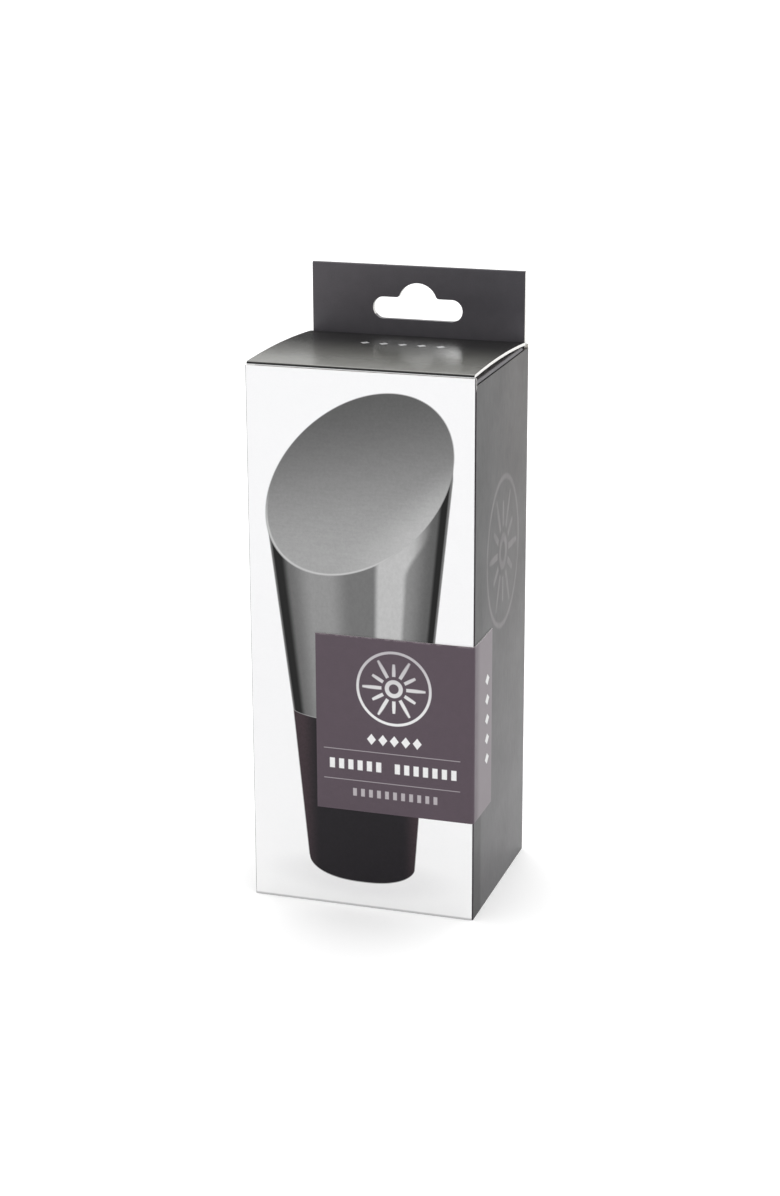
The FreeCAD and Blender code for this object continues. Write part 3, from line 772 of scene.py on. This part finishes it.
def black_card(name, first, last):
    """A curved card that only reflections see, standing round the object between two azimuths."""
    steps = max(2, int((last - first) / 4.0))
    mesh = bmesh.new()
    columns = []
    for step in range(steps + 1):
        angle = math.radians(first + (last - first) * step / steps)
        foot = Vector((CARD_RADIUS * math.cos(angle), CARD_RADIUS * math.sin(angle), 0.002))
        head = foot + Vector((0.0, 0.0, CARD_HEIGHT))
        columns.append((mesh.verts.new(foot), mesh.verts.new(head)))
    for left, right in zip(columns, columns[1:]):
        mesh.faces.new((left[0], right[0], right[1], left[1]))
    data = bpy.data.meshes.new(name)
    mesh.to_mesh(data)
    mesh.free()
    card = bpy.data.objects.new(name, data)
    bpy.context.scene.collection.objects.link(card)
    surface = Surface(name)
    cloud = surface.noise(30.0)
    surface.set(base_color=surface.shade((0.02, 0.02, 0.02, 1.0), 0.9 + cloud * 0.2), roughness=0.9)
    data.materials.append(surface.material)
    card.visible_camera = False
    card.visible_diffuse = False
    card.visible_shadow = False
    card.visible_transmission = False


def world_light():
    """Even white light, brighter towards the horizon and from a backdrop in one direction."""
    world = bpy.data.worlds.new("studio")
    world.use_nodes = True
    tree = world.node_tree
    points = tree.nodes.new("ShaderNodeTexCoord")
    dot = tree.nodes.new("ShaderNodeVectorMath")
    dot.operation = "DOT_PRODUCT"
    tree.links.new(points.outputs["Generated"], dot.inputs[0])
    dot.inputs[1].default_value = Vector(BACKDROP_TOWARDS).normalized()
    near = Field(tree, dot.outputs["Value"]).over(0.6, 0.35)
    parts = tree.nodes.new("ShaderNodeSeparateXYZ")
    tree.links.new(points.outputs["Generated"], parts.inputs[0])
    level = Field(tree, parts.outputs["Z"]).under(0.3, 0.2)
    background = tree.nodes["Background"]
    background.inputs["Color"].default_value = (1.0, 1.0, 1.0, 1.0)
    strength = near * LIGHT_BACKDROP + level * (LIGHT_HORIZON - LIGHT_ABOVE) + LIGHT_ABOVE
    feed(tree, strength, background.inputs["Strength"])
    bpy.context.scene.world = world


def soft_lamp():
    """One lamp from above, as wide as a softbox."""
    data = bpy.data.lights.new("top_light", "SUN")
    data.energy = LAMP_STRENGTH
    data.angle = math.radians(LAMP_SPREAD)
    lamp = bpy.data.objects.new("top_light", data)
    lamp.rotation_euler = Vector(LAMP_TOWARDS).to_track_quat("-Z", "Y").to_euler()
    bpy.context.scene.collection.objects.link(lamp)


def camera():
    """The photograph's viewpoint."""
    data = bpy.data.cameras.new("camera")
    data.lens = CAMERA_LENS
    data.sensor_width = 36.0
    data.clip_start = 0.01
    data.clip_end = 100.0
    eye = bpy.data.objects.new("camera", data)
    turn = Matrix((Vector(CAMERA_RIGHT), Vector(CAMERA_UP), -Vector(CAMERA_FORWARD))).transposed()
    eye.matrix_world = Matrix.Translation(CAMERA_PLACE) @ turn.to_4x4()
    bpy.context.scene.collection.objects.link(eye)
    bpy.context.scene.camera = eye


# ---------------------------------------------------------------- assembly


def paint(frame, material, *names):
    """Gives CAD nodes a material by their own material slots."""
    for name in names:
        node = frame["nodes"][name]
        if not node.material_slots:
            node.data.materials.append(material)
        for slot in node.material_slots:
            slot.material = material


def everywhere(surface):
    """The whole of an edge is a crease."""
    return 1.0


def below_sliver(surface):
    """The front panel's folded sides, below the white sliver where its cut corner shows."""
    return (surface.z + (surface.y + FRONT_FACE) * SLIVER_SLOPE).under(SLIVER_TOP, 0.1)


def below_side_crease(top):
    """Where a panel's upright edge is the folded corner, and not the cut edge above the side panels."""

    def where(surface):
        return surface.z.under(top, 0.05)

    return where


def paint_carton(frame):
    """All the folding board, each panel with its own printing."""
    side_low, side_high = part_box("right_panel")
    edges = {"front": side_low.y / MM, "rear": side_high.y / MM, "top": side_high.z / MM}
    edges["lid_front"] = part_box("front_panel")[1].z / MM + 0.2
    folded = below_side_crease(edges["top"])
    front = board("white_board", "-y", front_ink, [("+x", below_sliver), ("-x", below_sliver)])
    paint(frame, front, "front_panel")
    for side, outward in (("right", "+x"), ("left", "-x")):
        panel = board("grey_board_" + side, outward, side_ink(edges), [("+z", everywhere)])
        paint(frame, panel, side + "_panel")
    corners = [("+x", folded), ("-x", folded), ("+z", everywhere)]
    paint(frame, board("charcoal_board_back", "+y", back_ink, corners), "back_panel")
    paint(frame, board("charcoal_board_tab", "-y", tab_ink, [("+z", everywhere)]), "hang_tab_ply")
    paint(frame, board("charcoal_board_base", "-z", charcoal_ink), "bottom_outer_flap")
    lid_crease = [("-y", everywhere)]
    lid = board("charcoal_board_lid", "+z", lid_ink(edges), lid_crease, roughness=0.23, specular=0.5)
    paint(frame, lid, "top_lid")
    paint(frame, board("charcoal_board_tuck", "+y", charcoal_ink), "top_tuck")
    for side, crease in (("left", "-x"), ("right", "+x")):
        flap = board("charcoal_board_dust_" + side, "+z", charcoal_ink, [(crease, everywhere)])
        paint(frame, flap, "top_dust_" + side)
    inner = ["glue_flap", "bottom_inner_flap", "bottom_dust_left", "bottom_dust_right"]
    inner += ["cradle_deck", "cradle_leg_left", "cradle_leg_right"]
    paint(frame, plain_board("plain_board"), *inner)


def main():
    """Loads the frame, lights it and dresses it."""
    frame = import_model()
    bpy.context.scene.view_settings.view_transform = "Standard"
    camera()
    floor()
    world_light()
    soft_lamp()
    for number, (first, last) in enumerate(CARD_SPANS):
        black_card("card_%d" % number, first, last)
    paint_carton(frame)
    label_low, label_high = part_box("label")
    paint(frame, label_material(label_low.z / MM, label_high.z / MM), "label")
    paint(frame, silicone(), "silicone_plug")
    paint(frame, turned_steel("steel_washer"), "plug_washer")
    paint(frame, turned_steel("steel_screw"), "plug_screw")
    plug_low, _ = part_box("silicone_plug")
    head = stopper_head(plug_low.z / MM)
    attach(head, "stopper")
    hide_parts("stopper_head")


main()
